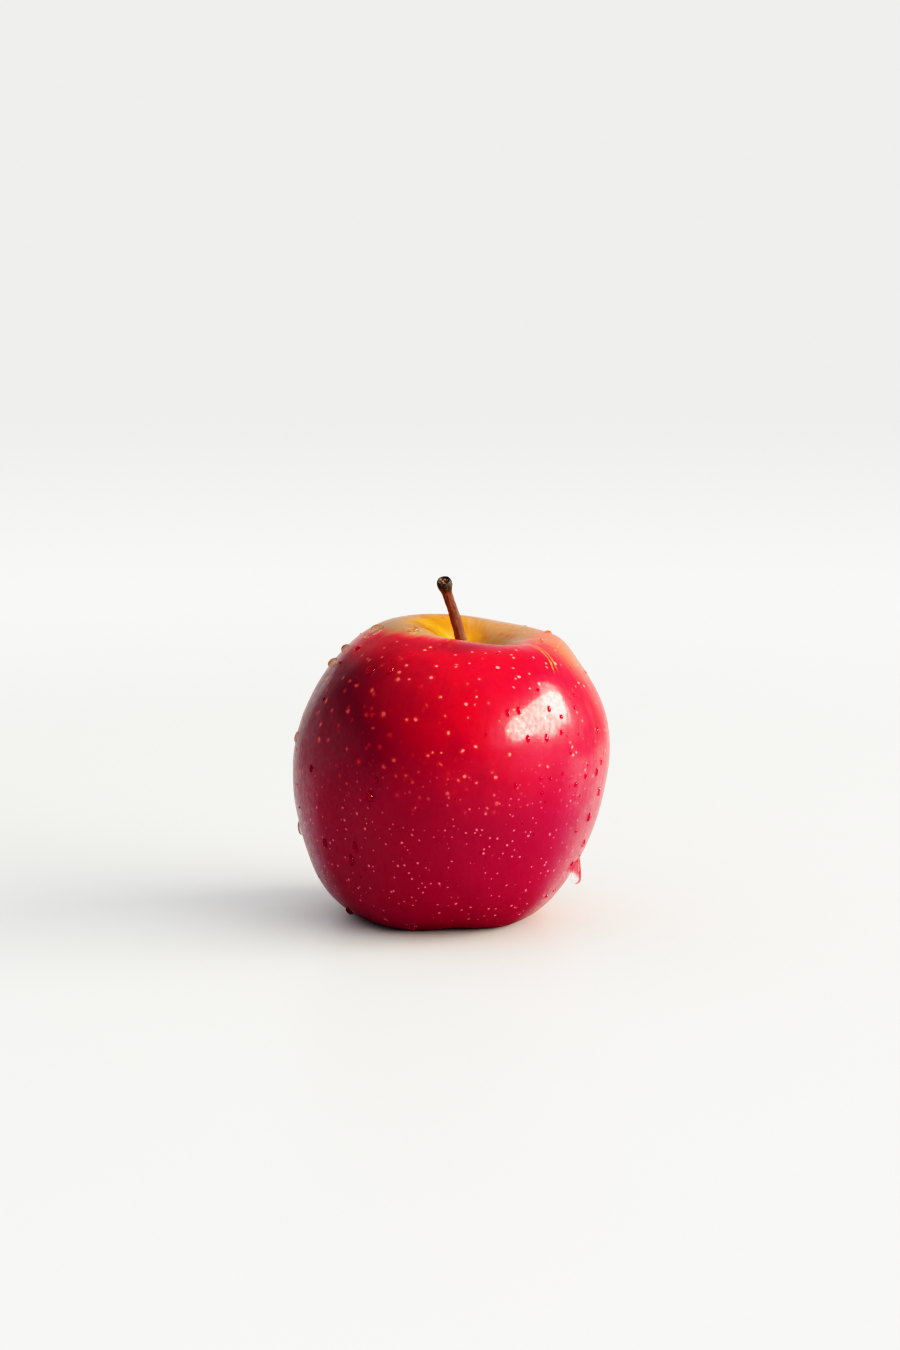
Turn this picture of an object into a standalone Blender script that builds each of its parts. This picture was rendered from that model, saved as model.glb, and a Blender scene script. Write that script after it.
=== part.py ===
"""A red dessert apple that rests on the rim of its own base.

The fruit is one solid: a round body with a stem cavity in its top and a shallow
basin in its base. The woody stem stands in the cavity. What is left of the
blossom sits in the basin: five dried sepals round a tuft of dried stamens.

Metres, +Z up. The apple rests on z = 0 and its box is centred on the Z axis.
"""
import math

import bmesh
import bpy
import numpy as np
from mathutils import Matrix, Vector

MM = 0.001

# ---- driving dimensions ----------------------------------------------------
# The fruit is turned from four half-profiles, one on each side. Each station
# gives (radius, height) in mm on the right, back, left and front of the fruit.
# They run from the middle of the stem cavity, over the shoulders, to the
# middle of the basin.
STATIONS_MM = {
    "cavity_floor": ((0.0, 61.4), (0.0, 61.4), (0.0, 61.4), (0.0, 61.4)),
    "cavity_throat": ((3.0, 62.4), (3.0, 62.4), (3.0, 62.4), (3.0, 62.4)),
    "cavity_wall": ((9.0, 67.4), (9.0, 69.4), (9.0, 70.4), (9.0, 67.4)),
    "rim": ((19.0, 68.5), (15.1, 71.4), (18.9, 72.3), (14.1, 69.7)),
    "shoulder": ((26.9, 63.5), (31.0, 65.4), (30.3, 64.1), (31.0, 64.4)),
    "equator": ((38.3, 45.5), (38.4, 42.5), (38.6, 41.9), (38.1, 42.9)),
    "flank": ((32.7, 17.0), (34.0, 17.4), (35.4, 16.4), (34.2, 17.4)),
    "heel": ((24.8, 4.1), (26.0, 4.2), (28.8, 4.0), (25.4, 4.2)),
    "foot": ((17.0, -0.4), (15.8, -0.4), (19.2, -0.4), (14.8, -0.4)),
    "basin_wall": ((6.5, 4.0), (6.5, 4.0), (6.5, 4.0), (6.5, 4.0)),
    "basin_floor": ((0.0, 8.0), (0.0, 8.0), (0.0, 8.0), (0.0, 8.0)),
}
FRUIT_SEGMENTS = 60         # faces round the fruit
FRUIT_RINGS = 40            # faces from the cavity to the basin

# Places along the profile are shares of its way from the cavity to the basin.
CAVITY_OFFSET = 4.5 * MM    # the cavity is set this far to the right of the core line
OFFSET_FULL, OFFSET_NONE = 0.22, 0.52

LOBES = 5                   # an apple has five seed cells, and five faint lobes over them
LOBE_TURN = math.radians(90)    # puts a dip between two lobes at the front
SHOULDER_LOBE = 0.35 * MM   # how far a lobe stands out, over the shoulder
HEEL_LOBE = 0.30 * MM       # and over the heel
FOOT_LOBE = 0.40 * MM       # and how far it reaches down, at the foot
SHOULDER_SPAN = (0.0, 0.25, 0.30, 0.55)     # starts, full from, full to, ends
HEEL_SPAN = (0.55, 0.75, 0.87, 0.97)
FOOT_EASE = 0.30 * MM       # the foot meets the table over this height

# The stem: centre line and radius in mm, measured from the cavity floor's centre.
STEM_POINTS_MM = (
    (-0.6, 0.2, 1.0, 1.48),
    (-1.4, 0.1, 3.8, 1.40),
    (-2.1, 0.0, 6.6, 1.36),
    (-3.0, -0.6, 10.9, 1.28),
    (-4.5, -2.0, 15.4, 1.20),
    (-5.5, -3.3, 18.8, 1.26),
    (-6.1, -4.4, 21.0, 1.80),
    (-6.4, -5.4, 22.5, 1.68),
)

STEM_CAP_WELD = 0.01 * MM   # the stem's end caps are joined to its bark

GAP = 0.35 * MM             # clearance between the pieces in the basin and the flesh
SEPALS = 5
SEPAL_LENGTH = 7.0 * MM
SEPAL_FOOT_WIDTH = 2.0 * MM
SEPAL_BELLY_WIDTH = 2.6 * MM
SEPAL_TIP_WIDTH = 0.5 * MM
SEPAL_THICKNESS = 0.45 * MM
SEPAL_RING = 2.5 * MM       # radius of the ring that the sepals grow from
SEPAL_RING_SHARE = 0.975    # where that ring lies on the profile
SEPAL_LEAN_IN = math.radians(20)    # at its foot a sepal leans in over the tuft,
SEPAL_CURL = math.radians(115)      # and from there it curls outwards by this much
SEPAL_CUP = 0.12 / MM       # how deep the blade is cupped, per squared half width
SEPAL_CELLS = (4, 8)        # faces across and along the blade
TUFT_TOP_RADIUS = 1.25 * MM
TUFT_TIP_RADIUS = 0.7 * MM
TUFT_LENGTH = 3.2 * MM
TUFT_SEGMENTS = 20
TUFT_FLUTES = 5
TUFT_FLUTE_DEPTH = 0.12     # as a share of its radius

COLOURS = {                 # base colour and roughness
    "apple_skin": ((0.60, 0.01, 0.03), 0.30),
    "stem_bark": ((0.16, 0.06, 0.03), 0.65),
    "dried_blossom": ((0.12, 0.07, 0.04), 0.85),
}


# ---- helpers ---------------------------------------------------------------
def clear_scene():
    for obj in list(bpy.data.objects):
        bpy.data.objects.remove(obj, do_unlink=True)


def material(name):
    colour, roughness = COLOURS[name]
    made = bpy.data.materials.get(name) or bpy.data.materials.new(name)
    made.use_nodes = True
    shader = made.node_tree.nodes["Principled BSDF"]
    shader.inputs["Base Color"].default_value = (*colour, 1.0)
    shader.inputs["Roughness"].default_value = roughness
    shader.inputs["Metallic"].default_value = 0.0
    return made


def add_object(name, data, finish, collection, parent):
    obj = bpy.data.objects.new(name, data)
    data.materials.append(material(finish))
    collection.objects.link(obj)
    obj.parent = parent
    return obj


def ease(x):
    x = min(max(x, 0.0), 1.0)
    return x * x * (3.0 - 2.0 * x)


def swell(share, span):
    """Rises from 0 to 1 at the start of a span of the profile and falls back at its end."""
    start, full_from, full_to, end = span
    return ease((share - start) / (full_from - start)) * ease((end - share) / (end - full_to))


def round_the_fruit(four, phi):
    """Blend a value given on the right, back, left and front to the bearing phi."""
    right, back, left, front = four
    mean = (right + back + left + front) / 4.0
    across = (right - left) / 2.0
    along = (back - front) / 2.0
    squareness = (right - back + left - front) / 4.0
    return (mean + across * math.cos(phi) + along * math.sin(phi)
            + squareness * math.cos(2.0 * phi))


# ---- the fruit's profile ---------------------------------------------------
class Profile:
    """A smooth closed curve through the stations and their mirror image.

    It is a cubic spline with continuous curvature, so the cavity floor and the
    basin floor come out round where the profile crosses the core line.
    """

    def __init__(self):
        points = np.array(list(STATIONS_MM.values()), float) * MM   # station, side, (r, z)
        mean = points.mean(axis=1)
        steps = np.sqrt(np.linalg.norm(np.diff(mean, axis=0), axis=1))
        length = steps.sum()
        mirrored = points[-2:0:-1] * (-1.0, 1.0)
        self.points = np.concatenate([points, mirrored])
        self.spans = np.concatenate([steps, steps[::-1]]) / length
        self.knots = np.concatenate([[0.0], np.cumsum(self.spans)])
        self.bends = self.solve_bends()

    def solve_bends(self):
        count = len(self.points)
        system = np.zeros((count, count))
        sides = np.zeros_like(self.points)
        for i in range(count):
            before, after = self.spans[i - 1], self.spans[i]
            system[i, i - 1] += before
            system[i, i] += 2.0 * (before + after)
            system[i, (i + 1) % count] += after
            rise_after = (self.points[(i + 1) % count] - self.points[i]) / after
            rise_before = (self.points[i] - self.points[i - 1]) / before
            sides[i] = 6.0 * (rise_after - rise_before)
        return np.linalg.solve(system, sides.reshape(count, -1)).reshape(sides.shape)

    def at(self, share):
        """(radius, height) on the four sides, at a share 0..1 of the way down."""
        i = int(np.searchsorted(self.knots, share, side="right")) - 1
        i = min(max(i, 0), len(STATIONS_MM) - 2)
        span = self.spans[i]
        b = (share - self.knots[i]) / span
        a = 1.0 - b
        start, end = self.points[i], self.points[i + 1]
        bend = ((a ** 3 - a) * self.bends[i] + (b ** 3 - b) * self.bends[i + 1]) * span ** 2 / 6.0
        return a * start + b * end + bend


def flattened(height):
    """The skin flattens where it stands on the table, with no crease."""
    if height >= FOOT_EASE:
        return height
    return max(height + FOOT_EASE, 0.0) ** 2 / (4.0 * FOOT_EASE)


def skin_point(profile, share, phi):
    """The point on the skin at a share of the profile and a bearing round the core."""
    four = profile.at(share)
    radius = round_the_fruit(four[:, 0], phi)
    height = round_the_fruit(four[:, 1], phi)
    lobe = math.cos(LOBES * phi - LOBE_TURN)
    heel = swell(share, HEEL_SPAN)
    radius += lobe * (SHOULDER_LOBE * swell(share, SHOULDER_SPAN) + HEEL_LOBE * heel)
    height = flattened(height - FOOT_LOBE * lobe * heel)
    offset = CAVITY_OFFSET * ease((OFFSET_NONE - share) / (OFFSET_NONE - OFFSET_FULL))
    return Vector((radius * math.cos(phi) + offset, radius * math.sin(phi), height))


def make_fruit(profile, collection, seat):
    """A sphere whose every vertex is moved to its place on the apple's skin."""
    bm = bmesh.new()
    bmesh.ops.create_uvsphere(bm, u_segments=FRUIT_SEGMENTS, v_segments=FRUIT_RINGS, radius=1.0)
    for vert in bm.verts:
        share = math.acos(min(max(vert.co.z, -1.0), 1.0)) / math.pi
        phi = math.atan2(vert.co.y, vert.co.x)
        vert.co = skin_point(profile, share, phi)
    mesh = bpy.data.meshes.new("fruit")
    bm.to_mesh(mesh)
    bm.free()
    mesh.shade_smooth()
    return add_object("fruit", mesh, "apple_skin", collection, seat)


# ---- the stem --------------------------------------------------------------
def make_stem(cavity_floor, collection, seat):
    """A bent woody stem that swells to a knob where it broke from the spur."""
    curve = bpy.data.curves.new("stem", "CURVE")
    curve.dimensions = "3D"
    curve.bevel_depth = MM
    curve.bevel_resolution = 3
    curve.resolution_u = 3
    curve.use_fill_caps = True
    spline = curve.splines.new("NURBS")
    spline.points.add(len(STEM_POINTS_MM) - 1)
    spline.order_u = 4
    spline.use_endpoint_u = True
    for point, (x, y, z, radius) in zip(spline.points, STEM_POINTS_MM):
        place = cavity_floor + Vector((x, y, z)) * MM
        point.co = (*place, 1.0)
        point.radius = radius
    stem = add_object("stem", curve, "stem_bark", collection, seat)
    weld = stem.modifiers.new("close_caps", "WELD")
    weld.merge_threshold = STEM_CAP_WELD
    return stem


# ---- the blossom's remains, in the basin -----------------------------------
def sepal_width(along):
    """A blade that is widest at its middle and ends in a narrow tip."""
    foot = SEPAL_FOOT_WIDTH * (1.0 - along) * (1.0 - 2.0 * along)
    belly = SEPAL_BELLY_WIDTH * 4.0 * along * (1.0 - along)
    tip = SEPAL_TIP_WIDTH * along * (2.0 * along - 1.0)
    return foot + belly + tip


def sepal_point(along, side):
    """A point on the blade, as (outwards, sideways, up) from the ring's centre."""
    across = side * sepal_width(along) / 2.0
    lean = SEPAL_CURL * along - SEPAL_LEAN_IN       # from straight down, outwards
    bend_radius = SEPAL_LENGTH / SEPAL_CURL
    out = bend_radius * (math.cos(SEPAL_LEAN_IN) - math.cos(lean))
    drop = bend_radius * (math.sin(lean) + math.sin(SEPAL_LEAN_IN))
    cup = SEPAL_CUP * across ** 2
    return Vector((SEPAL_RING + out - cup * math.cos(lean), across, -drop - cup * math.sin(lean)))


def make_sepal(index, ring_centre, collection, seat):
    """One dried blossom leaf: it hangs from the basin floor and curls outwards."""
    bm = bmesh.new()
    across, along = SEPAL_CELLS
    bmesh.ops.create_grid(bm, x_segments=across, y_segments=along, size=1.0)
    for vert in bm.verts:
        vert.co = sepal_point((vert.co.y + 1.0) / 2.0, vert.co.x)
    bearing = LOBE_TURN + index * math.tau / SEPALS
    bmesh.ops.rotate(bm, verts=bm.verts, cent=(0, 0, 0), matrix=Matrix.Rotation(bearing, 3, "Z"))
    bmesh.ops.translate(bm, verts=bm.verts, vec=ring_centre)
    mesh = bpy.data.meshes.new(f"sepal_{index + 1}")
    bm.to_mesh(mesh)
    bm.free()
    mesh.shade_smooth()
    sepal = add_object(mesh.name, mesh, "dried_blossom", collection, seat)
    skin = sepal.modifiers.new("blade_thickness", "SOLIDIFY")
    skin.thickness = SEPAL_THICKNESS
    skin.offset = 0.0
    return sepal


def make_tuft(basin_floor, collection, seat):
    """The dried stamens, as one fluted bundle that tapers towards its tips."""
    bm = bmesh.new()
    bmesh.ops.create_cone(bm, cap_ends=True, segments=TUFT_SEGMENTS, depth=TUFT_LENGTH,
                          radius1=TUFT_TIP_RADIUS, radius2=TUFT_TOP_RADIUS)
    for vert in bm.verts:
        flute = math.cos(TUFT_FLUTES * math.atan2(vert.co.y, vert.co.x))
        vert.co.xy *= 1.0 + TUFT_FLUTE_DEPTH * flute
    middle = basin_floor - Vector((0, 0, GAP + TUFT_LENGTH / 2.0))
    bmesh.ops.translate(bm, verts=bm.verts, vec=middle)
    mesh = bpy.data.meshes.new("stamen_tuft")
    bm.to_mesh(mesh)
    bm.free()
    mesh.shade_smooth()
    return add_object("stamen_tuft", mesh, "dried_blossom", collection, seat)


# ---- assembly --------------------------------------------------------------
def seat_of(fruit):
    """An empty that carries the apple so that its box is centred on the Z axis."""
    corners = np.array([vert.co for vert in fruit.data.vertices])
    middle = (corners.min(axis=0) + corners.max(axis=0)) / 2.0
    return Vector((-middle[0], -middle[1], 0.0))


def main():
    clear_scene()
    collection = bpy.data.collections.new("red_apple")
    bpy.context.scene.collection.children.link(collection)
    seat = bpy.data.objects.new("apple_seat", None)
    collection.objects.link(seat)

    profile = Profile()
    fruit = make_fruit(profile, collection, seat)
    make_stem(skin_point(profile, 0.0, 0.0), collection, seat)
    basin_floor = skin_point(profile, 1.0, 0.0)
    ring_height = skin_point(profile, SEPAL_RING_SHARE, 0.0).z - GAP - SEPAL_THICKNESS
    ring_centre = Vector((basin_floor.x, basin_floor.y, ring_height))
    for index in range(SEPALS):
        make_sepal(index, ring_centre, collection, seat)
    make_tuft(basin_floor, collection, seat)
    seat.location = seat_of(fruit)
    bpy.context.view_layer.update()


main()
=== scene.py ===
# %% [markdown]
# # A red apple, wet from washing
#
# A ripe dessert apple stands on a pale table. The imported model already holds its
# shape in plain facets: the fruit, the stem, and in the base what is left of the
# blossom. This lesson loads that model as a fixed frame and gives each piece the
# surface of the real thing. The waxy skin comes first, then the woody stem, the
# dried blossom, the drops of water, and last the table and the light.

# %% Load the fixed frame
import math
import random

import bmesh
import bpy
import numpy as np
from mathutils import Matrix, Quaternion, Vector


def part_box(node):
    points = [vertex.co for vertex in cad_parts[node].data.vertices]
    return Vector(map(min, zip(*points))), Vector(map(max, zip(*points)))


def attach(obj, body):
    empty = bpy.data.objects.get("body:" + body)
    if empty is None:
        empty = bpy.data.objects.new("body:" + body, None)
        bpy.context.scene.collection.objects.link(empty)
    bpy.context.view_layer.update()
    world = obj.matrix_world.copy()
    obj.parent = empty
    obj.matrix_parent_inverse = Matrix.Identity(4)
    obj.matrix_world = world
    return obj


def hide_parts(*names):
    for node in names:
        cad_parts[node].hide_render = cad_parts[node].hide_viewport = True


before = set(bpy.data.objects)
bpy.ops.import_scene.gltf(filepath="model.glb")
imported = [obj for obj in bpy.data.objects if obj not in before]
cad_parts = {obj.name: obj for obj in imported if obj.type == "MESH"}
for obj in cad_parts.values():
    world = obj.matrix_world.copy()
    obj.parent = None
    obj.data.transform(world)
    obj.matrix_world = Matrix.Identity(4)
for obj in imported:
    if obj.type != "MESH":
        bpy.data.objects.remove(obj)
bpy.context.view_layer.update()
MM = 0.001
MERGE = 0.01 * MM           # points nearer to each other than this become one
print("nodes:", sorted(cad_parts))

# %% [markdown]
# Blender's operators work on whatever is selected, and loading the frame leaves
# its nodes selected. So every step first says which piece it works on. In edit
# mode the vertices are then picked by where they are, which is what a maker does
# with the mouse.

# %% Helpers for selecting and for applying a modifier
def only(piece):
    """Leaves edit mode and selects this piece alone."""
    if bpy.context.mode != "OBJECT":
        bpy.ops.object.mode_set(mode="OBJECT")
    bpy.ops.object.select_all(action="DESELECT")
    piece.select_set(True)
    bpy.context.view_layer.objects.active = piece


def edit(piece):
    """Opens this piece alone in edit mode, in vertex select."""
    only(piece)
    bpy.ops.object.mode_set(mode="EDIT")
    bpy.ops.mesh.select_mode(type="VERT")
    bpy.ops.mesh.select_all(action="SELECT")


def pick(test):
    """In edit mode: selects the vertices that pass the test, and what lies between them."""
    piece = bpy.context.edit_object
    form = bmesh.from_edit_mesh(piece.data)
    for vert in form.verts:
        vert.select_set(bool(test(vert.co)))
    form.select_flush(True)
    bmesh.update_edit_mesh(piece.data)
    return sum(vert.select for vert in form.verts)


def use_modifier(piece, kind, **settings):
    """Adds a modifier and applies it at once."""
    only(piece)
    modifier = piece.modifiers.new(kind.title(), kind)
    for key, value in settings.items():
        setattr(modifier, key, value)
    bpy.ops.object.modifier_apply(modifier=modifier.name)


def name_new(name):
    """Names the object that an operator has just added, and its mesh."""
    piece = bpy.context.object
    piece.name = name
    piece.data.name = name
    return piece


def join_all(pieces, name):
    """Joins finished pieces into one."""
    only(pieces[0])
    for piece in pieces:
        piece.select_set(True)
    bpy.ops.object.join()
    return name_new(name)


def ease(x, low, high):
    """Rises smoothly from 0 at low to 1 at high."""
    t = np.clip((np.asarray(x) - low) / (high - low), 0.0, 1.0)
    return t * t * (3.0 - 2.0 * t)


def store(piece, name, values):
    """Keeps one number, or one vector, for each vertex, for a material to read."""
    values = np.asarray(values, dtype=np.float32)
    kind = "FLOAT_VECTOR" if values.ndim == 2 else "FLOAT"
    field = "vector" if values.ndim == 2 else "value"
    attribute = piece.data.attributes.new(name, kind, "POINT")
    attribute.data.foreach_set(field, values.ravel())


def places(piece):
    """The vertices' places, as rows of an array, in metres."""
    rows = np.zeros(len(piece.data.vertices) * 3)
    piece.data.vertices.foreach_get("co", rows)
    return rows.reshape(-1, 3)


print("helpers ready")

# %% [markdown]
# The camera is a portrait lens on a full-frame body, three quarters of a metre
# from the apple and a little above it, tipped down by ten degrees. A long lens
# keeps the fruit's outline free of the swelling that a near, wide one gives.

# %% The camera
CAMERA_TILT = math.radians(10.0)
CAMERA_AWAY = 776.7 * MM
AIM_HEIGHT = 34.5 * MM
APPLE_LOW = 24.37 * MM      # the apple sits this far under the middle of the picture
APPLE_RIGHT = 0.24 * MM
LENS = 85.0                 # in mm, as on a camera
FILM_WIDTH = 36.0

looking = Vector((0.0, math.cos(CAMERA_TILT), -math.sin(CAMERA_TILT)))
upward = Vector((0.0, math.sin(CAMERA_TILT), math.cos(CAMERA_TILT)))
bpy.ops.object.camera_add()
camera = bpy.context.object
camera.name = "camera"
camera.location = (Vector((-APPLE_RIGHT, 0.0, AIM_HEIGHT))
                   - looking * CAMERA_AWAY + upward * APPLE_LOW)
camera.rotation_euler = (math.pi / 2.0 - CAMERA_TILT, 0.0, 0.0)
camera.data.lens = LENS
camera.data.sensor_width = FILM_WIDTH
camera.data.clip_start = 10.0 * MM
bpy.context.scene.camera = camera
print("camera at", [round(x, 4) for x in camera.location])

# %% [markdown]
# ## The fruit
#
# An apple has no hard edge: over its whole surface it bulges and dips by a few
# tenths of a millimetre, because its five seed cells don't fill evenly. A sphere
# could be pushed into this shape by hand, but the frame already holds the right
# outline. So a copy of the frame's fruit is the cage. Its loose triangles are
# joined to quads, two rounds of subdivision make it round, and two soft clouds
# of displacement give the unevenness of growth.

# %% Turn the frame's fruit into a smooth skin

def copy_node(node_name, name):
    """A copy of one of the frame's pieces, in edit mode, its loose triangles joined to quads."""
    piece = bpy.data.objects.new(name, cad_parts[node_name].data.copy())
    bpy.context.scene.collection.objects.link(piece)
    edit(piece)
    bpy.ops.mesh.remove_doubles(threshold=MERGE)
    bpy.ops.mesh.tris_convert_to_quads(face_threshold=math.pi, shape_threshold=math.pi)
    return piece


skin = copy_node("fruit", "apple_flesh")
bpy.ops.mesh.normals_make_consistent(inside=False)
form = bmesh.from_edit_mesh(skin.data)
POLE_EDGES = 20
poles = sorted((vert.co.copy() for vert in form.verts if len(vert.link_edges) > POLE_EDGES),
               key=lambda place: -place.z)
cavity_floor, basin_floor = poles
use_modifier(skin, "SUBSURF", levels=2, render_levels=2)
print("cavity floor", [round(x / MM, 1) for x in cavity_floor],
      "basin floor", [round(x / MM, 1) for x in basin_floor],
      "faces", len(skin.data.polygons))


# %% Let it grow unevenly
def clouds(name, size):
    """A soft cloud pattern for a Displace modifier. Its lumps are about this size."""
    made = bpy.data.textures.new(name, "CLOUDS")
    made.noise_scale = size
    made.noise_depth = 1
    return made


use_modifier(skin, "DISPLACE", texture=clouds("broad_growth", 16 * MM), strength=0.55 * MM)
use_modifier(skin, "DISPLACE", texture=clouds("fine_growth", 4 * MM), strength=0.07 * MM)
edit(skin)
pressed = pick(lambda place: place.z < 0.0)
if pressed:
    bpy.ops.transform.resize(value=(1.0, 1.0, 0.0), center_override=(0.0, 0.0, 0.0))
only(skin)
bpy.ops.object.shade_smooth()
skin.data.materials.clear()
print("foot vertices pressed flat:", pressed)

# %% [markdown]
# Nearly everything on an apple's skin runs from the stem to the blossom end, so
# the paint needs to know two things at each point: how far along that way it
# is, and at which bearing round the core. The way is the angle from straight up,
# seen from the heart of the fruit, as a share of half a turn: 0 in the stem
# cavity, 1 in the basin. The bearing is kept as a sine and a cosine, so that no
# seam shows where a full turn ends.

# %% Measure the way and the bearing on a piece
HEART = Vector((0.0, 0.0, 36.0 * MM))
OFFSET_ENDS = 0.22, 0.52    # the cavity is set to one side, and that fades on this stretch


def measure(piece):
    """For each vertex: the way, the bearing in degrees, and the direction of that bearing."""
    spots = places(piece)
    from_heart = spots - np.array(HEART)
    way = np.arctan2(np.hypot(from_heart[:, 0], from_heart[:, 1]), from_heart[:, 2]) / math.pi
    share = ease(way, *OFFSET_ENDS)[:, None]
    middle = np.array(cavity_floor)[:2] * (1.0 - share) + np.array(basin_floor)[:2] * share
    across = spots[:, :2] - middle
    across /= np.maximum(np.linalg.norm(across, axis=1), 1e-9)[:, None]
    return way, np.degrees(np.arctan2(across[:, 1], across[:, 0])), across


print("way runs from", measure(skin)[0].min().round(3), "to", measure(skin)[0].max().round(3))

# %% [markdown]
# The colour has a plan too. The sun never reaches the cavity, so the skin keeps
# its golden ground there. Over the rim it is tan, rubbed with russet, and down the
# right shoulder a paler, orange flame runs out into the red. Everywhere else the
# sun has made a red blush. The left cheek, away from the window, is a darker red:
# partly the fruit's own deeper red, partly painted shade. The front rim of the
# cavity is darkened with painted shade, and the salmon streaks on the right flank
# are partly a painted sheen. Towards the base the red turns to a darker, cooler
# crimson, partly painted shade. Each of these is stored as a soft number, and the
# material later frays its edge. A few golden scratches cross the rim at the right,
# so the distance from their middle line is stored too, in degrees of bearing. All
# of this is a function, because the skin under each bead of water needs it again.

# %% Plan the colours
EDGE_SOFTNESS = 0.03
SCRATCH_BEARING = -34.0     # where the scratches start on the rim, and how they slant
SCRATCH_SLANT = -96.0
SCRATCH_FROM = 0.186


def plan_colours(piece):
    """Stores the plan on the skin, or on a piece that lies on it."""
    way, bearing, across = measure(piece)
    cos_b, sin_b = across[:, 0], across[:, 1]

    def toward(angle, spread):
        """1 at this bearing, falling off smoothly by spread degrees to either side."""
        off = (bearing - angle + 180.0) % 360.0 - 180.0
        return np.exp(-(off / spread) ** 2)

    gold_edge = 0.088 + 0.018 * toward(82.0, 42.0)
    tan_edge = 0.167 + 0.009 * cos_b + 0.046 * sin_b
    scratch_middle = SCRATCH_BEARING + SCRATCH_SLANT * (way - SCRATCH_FROM)
    store(piece, "meridian", np.column_stack((across, way)))
    store(piece, "gold", (gold_edge - way) / EDGE_SOFTNESS)
    store(piece, "tan", (tan_edge - way) / EDGE_SOFTNESS)
    store(piece, "orange", toward(4.0, 33.0) * np.exp(-((way - 0.225) / 0.085) ** 2))
    # Painted shade: the left cheek, away from the window, is darkened; partly the fruit's own
    # deeper red, partly painted shade.
    lower = ease(way, 0.25, 0.45)       # the shaded cheek is broader and deeper here
    cheek = toward(203.0 - 3.0 * lower, 60.0 + 15.0 * lower)
    shade = np.minimum(1.0, (1.0 + 0.35 * lower) * cheek)
    store(piece, "deep_red_painted_shade", shade * ease(way, 0.13, 0.27) * ease(way, 0.85, 0.62))
    # Painted shade: the front rim of the cavity, where the light from above falls strongly, gets a
    # darker red.
    store(piece, "front_rim_painted_shade", toward(-95.0, 60.0) * np.exp(-((way - 0.165) / 0.035) ** 2))
    store(piece, "sunny_red", toward(-30.0, 60.0) * ease(way, 0.15, 0.30) * ease(way, 0.75, 0.5))
    # The right flank, facing the window: salmon streaks that are partly the fruit's own and partly
    # a painted sheen.
    store(piece, "flank", toward(8.0, 28.0) * ease(way, 0.2, 0.35) * ease(way, 0.97, 0.85))
    # Darker and cooler towards the base, partly painted shade.
    store(piece, "crimson", ease(way, 0.33, 0.58))
    store(piece, "off_scratch", (bearing - scratch_middle + 180.0) % 360.0 - 180.0)
    store(piece, "scratch_stretch", ease(way, 0.17, 0.19) * ease(way, 0.28, 0.25))
    return float((gold_edge > way).mean())


print("share of the skin that keeps its gold:", round(plan_colours(skin), 3))


# %% [markdown]
# ## Materials
#
# Every material here is a small network of nodes. A few short functions keep
# such a network readable: one adds any node and wires it, the others stand for
# the nodes that come up again and again.

# %% Helpers for materials
class Paint:
    """A network of nodes under construction, for a material or for the world."""

    def __init__(self, owner):
        owner.use_nodes = True
        self.owner = owner
        self.tree = owner.node_tree
        self.tree.nodes.clear()

    def node(self, kind, inputs=(), **settings):
        made = self.tree.nodes.new("ShaderNode" + kind)
        for key, value in settings.items():
            setattr(made, key, value)
        for key, value in dict(inputs).items():
            if isinstance(value, bpy.types.NodeSocket):
                self.tree.links.new(value, made.inputs[key])
            else:
                made.inputs[key].default_value = value
        return made

    def value(self, name):
        return self.node("Attribute", attribute_name=name).outputs["Fac"]

    def vector(self, name):
        return self.node("Attribute", attribute_name=name).outputs["Vector"]

    def place(self, scale=(1000.0, 1000.0, 1000.0)):
        """The object's own coordinates, in millimetres unless scaled otherwise."""
        own = self.node("TexCoord").outputs["Object"]
        return self.node("Mapping", {"Vector": own, "Scale": scale}).outputs[0]

    def scaled(self, vector, scale):
        return self.node("Mapping", {"Vector": vector, "Scale": scale}).outputs[0]

    def math(self, operation, a, b=0.0, clamp=False):
        return self.node("Math", {0: a, 1: b}, operation=operation, use_clamp=clamp).outputs[0]

    def times(self, a, b):
        return self.math("MULTIPLY", a, b)

    def plus(self, a, b):
        return self.math("ADD", a, b)

    def noise(self, vector, scale, detail=2.0, roughness=0.5, distortion=0.0):
        return self.node("TexNoise", {"Vector": vector, "Scale": scale, "Detail": detail,
                                      "Roughness": roughness,
                                      "Distortion": distortion}).outputs["Fac"]

    def cells(self, vector, scale, randomness=1.0):
        """Distance to the nearest of many scattered points."""
        return self.node("TexVoronoi", {"Vector": vector, "Scale": scale,
                                        "Randomness": randomness}).outputs["Distance"]

    def ramp(self, value, low, high, start=0.0, end=1.0):
        """Goes smoothly from start at low to end at high."""
        return self.node("MapRange", {"Value": value, "From Min": low, "From Max": high,
                                      "To Min": start, "To Max": end},
                         interpolation_type="SMOOTHSTEP").outputs[0]

    def mix(self, share, a, b):
        """Two colours, mixed."""
        made = self.node("Mix", {0: share}, data_type="RGBA")
        for socket, value in ((made.inputs[6], a), (made.inputs[7], b)):
            if isinstance(value, bpy.types.NodeSocket):
                self.tree.links.new(value, socket)
            else:
                socket.default_value = (*value, 1.0)
        return made.outputs[2]

    def bump(self, height_mm):
        """A bump whose height is given in millimetres."""
        return self.node("Bump", {"Height": height_mm, "Distance": MM,
                                  "Strength": 1.0}).outputs["Normal"]

    def finish(self, **sockets):
        """Ends in a Principled shader. Sockets are named in lower case, with _ for a space."""
        named = {key.replace("_", " ").title().replace("Ior", "IOR"): value
                 for key, value in sockets.items()}
        shader = self.node("BsdfPrincipled", named)
        self.out = self.node("OutputMaterial", {"Surface": shader.outputs[0]})
        return shader


def new_material(name):
    return Paint(bpy.data.materials.new(name))


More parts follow.
